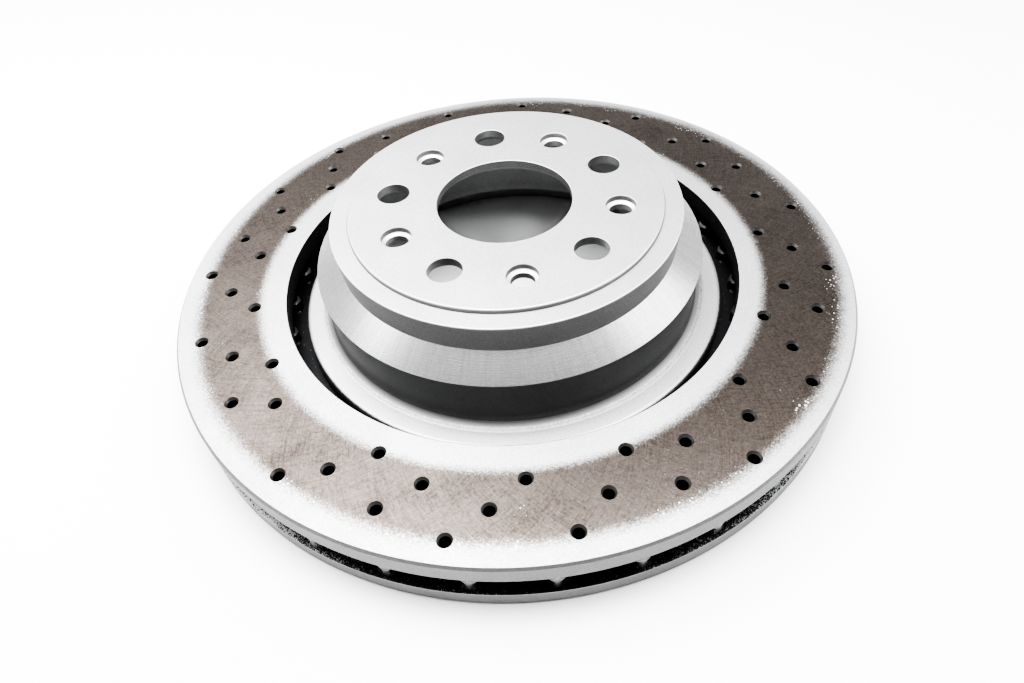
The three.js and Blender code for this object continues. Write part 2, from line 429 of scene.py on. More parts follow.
    def layers(self, s: Surface) -> tuple[bpy.types.NodeSocket, Number, Number]:
        """Adds the coating's nodes to a surface.

        Args:
            s: The surface that takes them.

        Returns:
            Its colour, its roughness and the height of its grain from 0 to 1.
        """
        clouds = s.noise(s.place, self.cloud_scale, detail=3.0) - 0.5
        flakes = s.cells(s.place, self.flake_scale)
        grain = s.noise(s.place, self.grain_scale)
        shaded = clouds * self.cloud_share + flakes * self.flake_share + (grain - 0.5) * self.grain_share
        colour = s.mix_colour((shaded + self.shade_share).clamped(), self.silver, self.shade)
        roughness = grain * self.grain_roughness + self.roughness + clouds * self.cloud_roughness
        return colour, roughness, grain


@dataclass(frozen=True)
class TurnedCoating:
    """Lathe-turned iron under a scant silver film, with its fine rings and faint streaks down them."""

    silver: Colour = (0.5, 0.5, 0.5)
    shade: Colour = (0.26, 0.26, 0.262)
    shade_share: float = 0.2
    roughness: float = 0.22
    ring_roughness: float = 0.12
    ring_scale: float = 5200.0
    ring_wander: float = 14.0
    ring_share: float = 0.5
    ring_height: float = 0.02 * MM
    streaks_round: float = 60.0
    streaks_down: float = 40.0
    streak_share: float = 1.1
    grain_scale: float = 1100.0
    grain_share: float = 0.7

    def build(self) -> bpy.types.Material:
        """Makes the material."""
        s = Surface(Finish.TURNED.value)
        along = s.combine(s.x * self.ring_wander, s.y * self.ring_wander, s.z * self.ring_scale)
        rings = s.noise(along, 1.0, detail=3.0, rough=0.7)
        across = (part / s.radius * self.streaks_round for part in (s.x, s.y))
        streaks = s.noise(s.combine(*across, s.z * self.streaks_down), 1.0, detail=4.0, rough=0.75) - 0.5
        grain = s.noise(s.place, self.grain_scale) - 0.5
        shaded = rings * self.ring_share + streaks * self.streak_share + grain * self.grain_share
        varying = {
            "Base Color": s.mix_colour((shaded + self.shade_share).clamped(), self.silver, self.shade),
            "Roughness": rings * self.ring_roughness + self.roughness,
            "Normal": s.bump(rings, self.ring_height),
        }
        return s.finish({"Metallic": 1.0}, varying)


@dataclass(frozen=True)
class WornEdge:
    """A slightly off-centre circle where uncoated iron gives way to sprayed silver."""

    radius: float
    swing: float
    swing_angle: float
    feather: float

    def silver(self, s: Surface, outside: bool) -> Number:
        """The share of silver across the edge.

        Args:
            s: The surface.
            outside: Whether the silver lies outside the circle.

        Returns:
            0 on the iron's side, 1 on the silver's side, and a slope between.
        """
        towards = s.x * math.cos(self.swing_angle) + s.y * math.sin(self.swing_angle)
        distance = s.radius - towards / s.radius * self.swing - self.radius
        reach = self.feather if outside else -self.feather
        return distance.step(-reach, reach, smooth=False)


@dataclass(frozen=True)
class GroundIron:
    """Bare ground friction face between two bands of silver overspray.

    The grinding wheel is a cup of radius wheel_radius whose centre runs on a circle of radius
    wheel_offset about the disc's axis, so its scratches are two crossing families of arcs.
    """

    iron: Colour = (0.16, 0.139, 0.126)
    iron_dark: Colour = (0.045, 0.037, 0.032)
    speck: Colour = (0.75, 0.74, 0.73)
    roughness: float = 0.2
    scratch_roughness: float = 0.12
    stain_roughness: float = 0.1
    wheel_radius: float = 100 * MM
    wheel_offset: float = 115 * MM
    scratches_round: float = 150.0
    scratches_along: float = 55.0
    scratch_edge: Span = (0.34, 0.62)
    scratch_share: float = 0.5
    scratch_height: float = 0.02 * MM
    inner_edge: WornEdge = WornEdge(137.2 * MM, -1.1 * MM, math.radians(-10), 4.6 * MM)
    outer_edge: WornEdge = WornEdge(173.9 * MM, 2.2 * MM, math.radians(35), 6.0 * MM)
    stain_scale: float = 30.0
    stain_edge: Span = (0.3, 0.7)
    stain_share: float = 0.42
    mottle_scale: float = 800.0
    mottle_share: float = 1.3
    drift_scale: float = 22.0
    drift_share: float = 0.5
    fleck_scale: float = 1300.0
    fleck_share: float = 1.15
    spray_edge: Span = (0.16, 0.84)
    spray_end: Span = (0.0, 0.12)
    spray_lift: float = 0.8
    spray_grain: float = 0.5
    speck_scale: float = 520.0
    speck_reach: float = 9 * MM
    speck_lift: float = 2.0
    speck_edge: Span = (0.0, 0.08)
    speck_rarity: float = 0.6
    speck_size: float = 1.2
    specks_outside: float = 0.27
    specks_inside: float = 0.12
    cluster_scale: float = 42.0
    coating: ZincCoating = field(default_factory=ZincCoating)

    def build(self) -> bpy.types.Material:
        """Makes the material."""
        s = Surface(Finish.GROUND.value)
        scratches = self._scratches(s)
        cover = self._cover(s)
        silver, silver_rough, silver_grain = self.coating.layers(s)
        stains = s.noise(s.place, self.stain_scale, detail=5.0, rough=0.62)
        stain = stains.step(*self.stain_edge, smooth=False)
        mottle = s.noise(s.place, self.mottle_scale, detail=3.0, rough=0.75) - 0.5
        dark = scratches * self.scratch_share + stain * self.stain_share + mottle * self.mottle_share
        iron = s.mix_colour(dark.clamped(), self.iron, self.iron_dark)
        sprayed = s.mix_colour(cover, iron, silver)
        specks = self._specks(s) * (1.0 - cover)
        colour = s.mix_colour(specks, sprayed, self.speck)
        iron_rough = scratches * self.scratch_roughness + stain * self.stain_roughness + self.roughness
        roughness = iron_rough * (1.0 - cover) + silver_rough * cover
        iron_height = scratches + specks * self.speck_lift
        silver_height = silver_grain * self.spray_grain + self.spray_lift
        height = iron_height * (1.0 - cover) + silver_height * cover
        varying = {
            "Base Color": colour,
            "Roughness": roughness,
            "Normal": s.bump(height, self.scratch_height),
        }
        return s.finish({"Metallic": 1.0}, varying)

    def _scratches(self, s: Surface) -> Number:
        """The crossing families of fine scratches."""
        reach = s.radius * s.radius + (self.wheel_offset**2 - self.wheel_radius**2)
        spread = (reach / (s.radius * (2.0 * self.wheel_offset))).math("ARCCOSINE")
        clear = []
        for sense in (1.0, -1.0):
            turn = s.angle + spread * sense
            across = (turn.math(wave) * self.scratches_round for wave in ("COSINE", "SINE"))
            place = s.combine(*across, s.radius * self.scratches_along)
            lines = s.noise(place, 1.0, detail=4.0, rough=0.8)
            clear.append(lines.step(*self.scratch_edge, smooth=False))
        return 1.0 - clear[0] * clear[1]

    def _cover(self, s: Surface) -> Number:
        """How much silver lies on the iron: full past both edges, frayed where they fade out."""
        drift = (s.noise(s.place, self.drift_scale, detail=3.0) - 0.5) * self.drift_share
        fleck = (s.noise(s.place, self.fleck_scale, detail=3.0, rough=0.7) - 0.5) * self.fleck_share
        spray = self.inner_edge.silver(s, False) + self.outer_edge.silver(s, True)
        return (spray + drift * spray + fleck).step(*self.spray_edge) * spray.step(*self.spray_end)

    def _specks(self, s: Surface) -> Number:
        """Loose bright specks, in clusters by the edges and few between them."""
        cluster = s.noise(s.place, self.cluster_scale, detail=3.0, rough=0.6)
        outer = s.radius.step(self.outer_edge.radius - self.speck_reach, self.outer_edge.radius)
        inner = s.radius.step(self.inner_edge.radius + self.speck_reach, self.inner_edge.radius)
        crowd = cluster + outer * self.specks_outside + inner * self.specks_inside
        size = (crowd - self.speck_rarity) * self.speck_size
        return (size - s.cells(s.place, self.speck_scale)).step(*self.speck_edge)


@dataclass(frozen=True)
class DrilledIron:
    """Bare iron left by the drill, dark and shiny, with the rings of the countersink's cut."""

    iron: Colour = (0.3, 0.293, 0.286)
    iron_dark: Colour = (0.1, 0.097, 0.094)
    roughness: float = 0.4
    ring_roughness: float = 0.14
    ring_scale: float = 6000.0
    ring_wander: float = 90.0
    ring_height: float = 0.01 * MM

    def build(self) -> bpy.types.Material:
        """Makes the material."""
        s = Surface(Finish.DRILLED.value)
        along = s.combine(s.x * self.ring_wander, s.y * self.ring_wander, s.z * self.ring_scale)
        rings = s.noise(along, 1.0, rough=0.6)
        varying = {
            "Base Color": s.mix_colour(rings, self.iron, self.iron_dark),
            "Roughness": rings * self.ring_roughness + self.roughness,
            "Normal": s.bump(rings, self.ring_height),
        }
        return s.finish({"Metallic": 1.0}, varying)


@dataclass(frozen=True)
class CastChannel:
    """Rough sand-cast iron in the air channels, silvered where the spray reached in at the ends; on the
    vanes' ridges the silver is also a painted highlight.
    """

    # Near-black: the iron's own dark tone, darkened further as painted shade inside the channels, on the
    # bore wall and down the holes.
    iron: Colour = (0.032, 0.032, 0.034)
    silver: Colour = (0.42, 0.423, 0.426)
    roughness: float = 0.47
    sand_roughness: float = 0.16
    sand_scale: float = 620.0
    sand_share: float = 0.3
    sand_height: float = 0.1 * MM
    grit_scale: float = 1700.0
    grit_share: float = 0.7
    near_rim: Span = (170 * MM, 182 * MM)
    near_side: Span = (40 * MM, 140 * MM)
    flecks_everywhere: float = 0.02
    flecks_at_sides: float = 0.18
    patch_scale: float = 30.0
    patch_edge: Span = (0.4, 0.65)
    patch_share: float = 0.07
    fleck_edge: Span = (0.63, 0.71)
    end_facing: Span = (0.5, 1.0)
    end_radius: Span = (176 * MM, 180 * MM)
    end_height: Span = (2 * MM, 8 * MM)
    end_share: float = 0.55
    # The ridges' upward faces, whose silver is partly spray and partly a painted highlight.
    ledge_facing: Span = (0.0, 0.8)
    ledge_height: Span = (3.0 * MM, 0.8 * MM)
    ledge_spray_and_highlight_share: float = 0.4
    film_height: Span = (6.3 * MM, 4.6 * MM)
    film_share: float = 0.1
    film_grain: float = 1.6

    def build(self, levels: Levels) -> bpy.types.Material:
        """Makes the material."""
        s = Surface(Finish.CHANNEL.value)
        sand = s.noise(s.place, self.sand_scale, detail=4.0, rough=0.65)
        grit = s.noise(s.place, self.grit_scale, rough=0.6)
        grain = grit * self.grit_share + sand * self.sand_share
        silvered = (self._flecks(s, grain) + self._film(s, grain, levels)).clamped()
        varying = {
            "Base Color": s.mix_colour(silvered, self.iron, self.silver),
            "Roughness": sand * self.sand_roughness + self.roughness,
            "Normal": s.bump(sand, self.sand_height),
        }
        return s.finish({"Metallic": 1.0}, varying)

    def _flecks(self, s: Surface, grain: Number) -> Number:
        """Flecks of spray by the rim, most of all to the sides."""
        sides = s.x.math("ABSOLUTE").step(*self.near_side)
        patches = s.noise(s.place, self.patch_scale).step(*self.patch_edge) * self.patch_share
        crowd = sides * self.flecks_at_sides + self.flecks_everywhere + patches
        return (grain + s.radius.step(*self.near_rim) * crowd).step(*self.fleck_edge)

    def _film(self, s: Surface, grain: Number, levels: Levels) -> Number:
        """A film of spray on what faces out of the channels: the vanes' ends, and their ridges' upward
        faces, where it is also a painted highlight.
        """
        middle = (s.z - (levels.vent_floor + levels.vent_ceiling) / 2).math("ABSOLUTE")
        upper = (s.z - levels.vent_floor).step(*self.end_height)
        ends = s.outward.step(*self.end_facing) * s.radius.step(*self.end_radius) * upper
        # Silver on the ridges' upward faces: partly spray, partly a painted highlight.
        ledge_spray_and_highlight = s.upright.step(*self.ledge_facing) * middle.step(*self.ledge_height)
        share = (ends * self.end_share + ledge_spray_and_highlight * self.ledge_spray_and_highlight_share) * middle.step(*self.film_height)
        return share * (grain * self.film_grain + self.film_share)


@dataclass(frozen=True)
class PaleFloor:
    """The plain pale table that the disc lies on."""

    white: Colour = (0.91, 0.91, 0.912)
    shade: Colour = (0.9, 0.9, 0.9)
    shade_share: float = 0.2
    cloud_scale: float = 1.5
    roughness: float = 0.6

    def build(self) -> bpy.types.Material:
        """Makes the material."""
        s = Surface("pale_floor")
        clouds = s.noise(s.place, self.cloud_scale, detail=1.0)
        colour = s.mix_colour(clouds * self.shade_share, self.white, self.shade)
        return s.finish({"Roughness": self.roughness}, {"Base Color": colour})


def make_finishes(levels: Levels) -> dict[Finish, bpy.types.Material]:
    """Makes one material for each finish."""
    return {
        Finish.ZINC: ZincCoating().build(levels),
        Finish.TURNED: TurnedCoating().build(),
        Finish.GROUND: GroundIron().build(),
        Finish.CHANNEL: CastChannel().build(levels),
        Finish.DRILLED: DrilledIron().build(),
    }


# ---- Mesh building ------------------------------------------------------------------------------


@dataclass(frozen=True)
class Corner:
    """A corner of a turned cross-section, rounded where it has a radius."""

    r: float
    z: float
    rounding: float = 0.0

    @property
    def point(self) -> Vector:
        """The corner as a vector in the section's plane."""
        return Vector((self.r, self.z))


ROUNDING_STEPS = 5
ROUND_SEGMENTS = 256
SAME_PLACE = 1e-7
SHARP_ANGLE = math.radians(28)
SHADING_WEIGHT = 80


def section_points(corners: Sequence[Corner], closed: bool = True) -> Iterator[Vector]:
    """Gives a section's points, with an arc at each rounded corner.

    Args:
        corners: The section's corners in order.
        closed: Whether the last corner joins the first.

    Yields:
        Points of radius and height.
    """
    for i, corner in enumerate(corners):
        ends_open = not closed and i in (0, len(corners) - 1)
        if corner.rounding == 0.0 or ends_open:
            yield corner.point
            continue
        back = (corners[i - 1].point - corner.point).normalized()
        ahead = (corners[(i + 1) % len(corners)].point - corner.point).normalized()
        half = back.angle(ahead) / 2
        reach = corner.rounding / math.tan(half)
        centre = corner.point + (back + ahead).normalized() * (corner.rounding / math.sin(half))
        start = corner.point + back * reach - centre
        end = corner.point + ahead * reach - centre
        turn = start.angle_signed(end)
        for k in range(ROUNDING_STEPS + 1):
            yield centre + Matrix.Rotation(-turn * k / ROUNDING_STEPS, 2) @ start


def turned(corners: Sequence[Corner], segments: int, closed: bool = True) -> bmesh.types.BMesh:
    """Turns a section about the Z axis.

    Args:
        corners: The section. Where it isn't closed, its ends lie on the axis.
        segments: Steps in the full turn.
        closed: Whether the section closes on itself.

    Returns:
        The solid as a new bmesh.
    """
    bm = bmesh.new()
    verts = [bm.verts.new((p.x, 0.0, p.y)) for p in section_points(corners, closed)]
    pairs = list(zip(verts, verts[1:]))
    if closed:
        pairs.append((verts[-1], verts[0]))
    edges = [bm.edges.new(pair) for pair in pairs]
    bmesh.ops.spin(
        bm, geom=verts + edges, cent=(0, 0, 0), axis=(0, 0, 1), angle=math.tau, steps=segments,
        use_merge=True, use_normal_flip=False, use_duplicate=False,
    )
    bmesh.ops.remove_doubles(bm, verts=bm.verts, dist=SAME_PLACE)
    bmesh.ops.recalc_face_normals(bm, faces=bm.faces)
    return bm


def new_piece(name: str, bm: bmesh.types.BMesh) -> bpy.types.Object:
    """Makes an object of a bmesh, which is used up."""
    mesh = bpy.data.meshes.new(name)
    bm.to_mesh(mesh)
    bm.free()
    piece = bpy.data.objects.new(name, mesh)
    bpy.context.scene.collection.objects.link(piece)
    return piece


def apply_modifiers(piece: bpy.types.Object) -> None:
    """Gives a piece the mesh that its modifiers make."""
    depsgraph = bpy.context.evaluated_depsgraph_get()
    mesh = bpy.data.meshes.new_from_object(piece.evaluated_get(depsgraph))
    old = piece.data
    piece.modifiers.clear()
    piece.data = mesh
    bpy.data.meshes.remove(old)


def cut(piece: bpy.types.Object, cutter: bmesh.types.BMesh) -> None:
    """Takes a cutter's space out of a piece. The cutter is used up."""
    tool = new_piece("cutter", cutter)
    boolean = piece.modifiers.new("cut", "BOOLEAN")
    boolean.object = tool
    boolean.operation = "DIFFERENCE"
    boolean.solver = "EXACT"
    bpy.context.view_layer.update()
    apply_modifiers(piece)
    bpy.data.objects.remove(tool)


def copies_on_circle(
    tool: bmesh.types.BMesh, places: Sequence[tuple[float, float]]
) -> bmesh.types.BMesh:
    """Repeats a tool that stands on the axis.

    Args:
        tool: The one to repeat, which is used up.
        places: The radius and angle of each copy.

    Returns:
        All the copies in one bmesh.
    """
    first = list(tool.verts) + list(tool.edges) + list(tool.faces)
    for radius, angle in places:
        made = bmesh.ops.duplicate(tool, geom=first)["geom"]
        verts = [item for item in made if isinstance(item, bmesh.types.BMVert)]
        offset = Vector((radius * math.cos(angle), radius * math.sin(angle), 0.0))
        bmesh.ops.translate(tool, verts=verts, vec=offset)
    originals = [item for item in first if isinstance(item, bmesh.types.BMVert)]
    bmesh.ops.delete(tool, geom=originals, context="VERTS")
    return tool


def dress(
    piece: bpy.types.Object,
    materials: Sequence[bpy.types.Material],
    choose: Callable[[bpy.types.MeshPolygon], int],
) -> None:
    """Gives a piece its materials and its shading.

    Args:
        piece: The piece.
        materials: Its materials, in order.
        choose: Gives the place in materials of each face's material.
    """
    mesh = piece.data
    mesh.materials.clear()
    for material in materials:
        mesh.materials.append(material)
    for face in mesh.polygons:
        face.material_index = choose(face)
        face.use_smooth = True
    mesh.set_sharp_from_angle(angle=SHARP_ANGLE)
    weighted = piece.modifiers.new("even_shading", "WEIGHTED_NORMAL")
    weighted.keep_sharp = True
    weighted.weight = SHADING_WEIGHT
    bpy.context.view_layer.update()
    apply_modifiers(piece)


def hand_over(piece: bpy.types.Object, node: str, slot: Finish) -> None:
    """Ties a finished piece to the frame in place of its node."""
    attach(piece, BODY)
    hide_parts(node)
    log.info("%s stands for %s: %d faces", piece.name, node, len(piece.data.polygons))


# ---- The disc's regions -------------------------------------------------------------------------


@dataclass
class MountingFlange:
    """The disc that the wheel is clamped against, with its bore and bolt holes."""

    levels: Levels
    bore_r: float = 35.2 * MM
    bore_rear_chamfer: float = 3 * MM
    edge_rounding: float = 0.5 * MM
    step_rounding: float = 1.1 * MM
    bolt_circle_r: float = 60 * MM
    hole_pairs: int = 5
    first_plain_angle: float = math.radians(94.5)
    plain_r: float = 8.6 * MM
    plain_rear_chamfer: float = 2.6 * MM
    stepped_mouth_r: float = 7.75 * MM
    stepped_mouth_depth: float = 3.1 * MM
    stepped_cone_depth: float = 1.0 * MM
    stepped_through_r: float = 5.9 * MM
    hole_segments: int = 64
    hole_edge: float = 0.3 * MM
    overcut: float = 1 * MM
    seam: float = 0.3 * MM

    def build(self, finishes: dict[Finish, bpy.types.Material]) -> None:
        """Makes the flange and hands it over."""
        lv = self.levels
        corners = [
            Corner(self.bore_r + self.bore_rear_chamfer, lv.flange_underside),
            Corner(lv.face_r + self.seam, lv.flange_underside),
            Corner(lv.face_r + self.seam, lv.shoulder - self.seam),
            Corner(lv.face_r, lv.shoulder - self.seam),
            Corner(lv.face_r - self.seam, lv.hat_top, self.step_rounding),
            Corner(self.bore_r, lv.hat_top, self.edge_rounding),
            Corner(self.bore_r, lv.flange_underside + self.bore_rear_chamfer),
        ]
        flange = new_piece("mounting_flange_machined", turned(corners, ROUND_SEGMENTS))
        turn = math.tau / self.hole_pairs
        plain = [(self.bolt_circle_r, self.first_plain_angle + i * turn) for i in range(self.hole_pairs)]
        stepped = [(radius, angle + turn / 2) for radius, angle in plain]
        cut(flange, copies_on_circle(self._plain_hole(), plain))
        cut(flange, copies_on_circle(self._stepped_hole(), stepped))
        dress(flange, [finishes[Finish.ZINC]], lambda face: 0)
        hand_over(flange, "mounting_flange", Finish.ZINC)

    def _plain_hole(self) -> bmesh.types.BMesh:
        """A cutter for a plain hole with its deep chamfer at the back."""
        lv = self.levels
        rear = self.plain_r + self.plain_rear_chamfer + self.overcut
        corners = [
            Corner(0.0, lv.flange_underside - self.overcut),
            Corner(rear, lv.flange_underside - self.overcut),
            Corner(self.plain_r, lv.flange_underside + self.plain_rear_chamfer),
            Corner(self.plain_r, lv.hat_top - self.hole_edge),
            Corner(self.plain_r + self.hole_edge + self.overcut, lv.hat_top + self.overcut),
            Corner(0.0, lv.hat_top + self.overcut),
        ]
        return turned(corners, self.hole_segments, closed=False)

    def _stepped_hole(self) -> bmesh.types.BMesh:
        """A cutter for a hole with a wide mouth, a short cone and a narrower way through."""
        lv = self.levels
        cone_start = lv.hat_top - self.stepped_mouth_depth
        corners = [
            Corner(0.0, lv.flange_underside - self.overcut),
            Corner(self.stepped_through_r, lv.flange_underside - self.overcut),
            Corner(self.stepped_through_r, cone_start - self.stepped_cone_depth),
            Corner(self.stepped_mouth_r, cone_start),
            Corner(self.stepped_mouth_r, lv.hat_top - self.hole_edge),
            Corner(self.stepped_mouth_r + self.hole_edge + self.overcut, lv.hat_top + self.overcut),
            Corner(0.0, lv.hat_top + self.overcut),
        ]
        return turned(corners, self.hole_segments, closed=False)


@dataclass
class Hat:
    """The hat's wall from its shoulder down to its foot, in three regions that meet."""

    levels: Levels
    shoulder_width: float = 9.6 * MM
    barrel_taper: float = 1.4 * MM
    cone_top_rise: float = 24.7 * MM
    cone_lip: float = 2.2 * MM
    inner_cone_drop: float = 4 * MM
    cone_tilt: Span = (0.3, 0.95)
    neck_wall: float = 7 * MM
    neck_fillet: float = 5.994 * MM
    mouth_widening: float = 9 * MM
    mouth_depth: float = 12 * MM
    foot_rounding: float = 2.7 * MM
    edge_rounding: float = 0.8 * MM
    lip_rounding: float = 0.25 * MM
    seam: float = 0.3 * MM

    @property
    def neck_r(self) -> float:
        """The undercut neck's outer radius."""
        return self.levels.cone_r - self.cone_lip

    @property
    def drum_r(self) -> float:
        """The parking-brake drum's radius."""
        return self.neck_r - self.neck_wall

    def build(self, finishes: dict[Finish, bpy.types.Material]) -> None:
        """Makes the three regions and hands them over."""
        self._build_barrel(finishes)
        self._build_drum_wall(finishes)
        self._build_foot(finishes)

    def _build_barrel(self, finishes: dict[Finish, bpy.types.Material]) -> None:
        """The shoulder, the slightly tapered barrel and the machined cone."""
        lv = self.levels
        hat_r = lv.face_r + self.shoulder_width
        inner_r = lv.face_r + self.seam
        cone_top = lv.outboard_face + self.cone_top_rise
        corners = [
            Corner(lv.cone_r, lv.cone_bottom, self.lip_rounding),
            Corner(hat_r - self.barrel_taper, cone_top),
            Corner(hat_r, lv.shoulder, self.edge_rounding),
            Corner(inner_r, lv.shoulder),
            Corner(inner_r, cone_top - self.inner_cone_drop),
            Corner(self.drum_r, lv.cone_bottom),
        ]
        barrel = new_piece("hat_barrel_turned", turned(corners, ROUND_SEGMENTS))
        cone_from = hat_r - self.barrel_taper - self.edge_rounding
        flattest, steepest = self.cone_tilt

        def choose(face: bpy.types.MeshPolygon) -> int:
            """The cone is turned bright, and the rest is coated."""
            outside = math.hypot(face.center.x, face.center.y) > cone_from
            return int(outside and flattest < face.normal.z < steepest and face.center.z < cone_top)

        dress(barrel, [finishes[Finish.ZINC], finishes[Finish.TURNED]], choose)
        hand_over(barrel, "hat_barrel", Finish.TURNED)

    def _build_drum_wall(self, finishes: dict[Finish, bpy.types.Material]) -> None:
        """The neck outside and the drum with its flared mouth inside."""
        lv = self.levels
        corners = [
            Corner(self.drum_r + self.mouth_widening, lv.relief),
            Corner(lv.fillet_r, lv.relief),
            Corner(lv.fillet_r, lv.foot_top),
            Corner(self.neck_r, lv.foot_top, self.neck_fillet),
            Corner(self.neck_r, lv.cone_bottom),
            Corner(self.drum_r, lv.cone_bottom),
            Corner(self.drum_r, lv.relief + self.mouth_depth),
        ]
        wall = new_piece("drum_wall_coated", turned(corners, ROUND_SEGMENTS))
        dress(wall, [finishes[Finish.ZINC]], lambda face: 0)
        hand_over(wall, "drum_wall", Finish.ZINC)

    def _build_foot(self, finishes: dict[Finish, bpy.types.Material]) -> None:
        """The flange that joins the hat to the inboard plate."""
        lv = self.levels
        corners = [
            Corner(lv.fillet_r, lv.relief),
            Corner(lv.foot_r, lv.relief),
            Corner(lv.foot_r, lv.foot_top, self.foot_rounding),
            Corner(lv.fillet_r, lv.foot_top),
        ]
        foot = new_piece("hat_foot_coated", turned(corners, ROUND_SEGMENTS))
        dress(foot, [finishes[Finish.ZINC]], lambda face: 0)
        hand_over(foot, "hat_foot", Finish.ZINC)


@dataclass(frozen=True)
class DrillHole:
    """One hole of the repeating group: its place in vane pitches, and its row from 0 to 1."""

    pitch: float
    row: float


@dataclass
class Drilling:
    """The pattern of countersunk holes that passes both plates."""

    inner_row: float
    outer_row: float
    vane_pitch: float
    positions: int = 62
    omitted: int = 61
    first_angle: float = math.radians(229.1)
    group_pitches: int = 4
    drill_r: float = 2.6 * MM
    mouth_r: float = 3.5 * MM
    countersink: float = 1.5 * MM
    segments: int = 28
    overcut: float = 1 * MM
    group: tuple[DrillHole, ...] = (
        DrillHole(0.0, 0.95),
        DrillHole(0.52, 0.52),
        DrillHole(1.04, 0.0),
        DrillHole(1.45, 0.77),
        DrillHole(1.91, 0.27),
        DrillHole(2.43, 1.0),
        DrillHole(2.92, 0.54),
        DrillHole(3.43, 0.1),
    )

    def places(self) -> list[tuple[float, float]]:
        """The radius and angle of each hole."""
        found = []
        for i in range(self.positions):
            if i == self.omitted:
                continue
            turn, place = divmod(i, len(self.group))
            hole = self.group[place]
            pitches = turn * self.group_pitches + hole.pitch
            radius = self.inner_row + hole.row * (self.outer_row - self.inner_row)
            found.append((radius, self.first_angle + pitches * self.vane_pitch))
        return found

    def cutter(self, face_z: float, outwards: float, depth: float) -> bmesh.types.BMesh:
        """A cutter for all the holes in one plate.

        Args:
            face_z: The friction face's height.
            outwards: 1 where that face looks up, or -1 where it looks down.
            depth: The plate's thickness.

        Returns:
            The cutters in one bmesh.
        """
        flare = (self.mouth_r - self.drill_r) * self.overcut / self.countersink
        corners = [
            Corner(0.0, face_z + outwards * self.overcut),
            Corner(self.mouth_r + flare, face_z + outwards * self.overcut),
            Corner(self.drill_r, face_z - outwards * self.countersink),
            Corner(self.drill_r, face_z - outwards * (depth + self.overcut)),
            Corner(0.0, face_z - outwards * (depth + self.overcut)),
        ]
        return copies_on_circle(turned(corners, self.segments, closed=False), self.places())


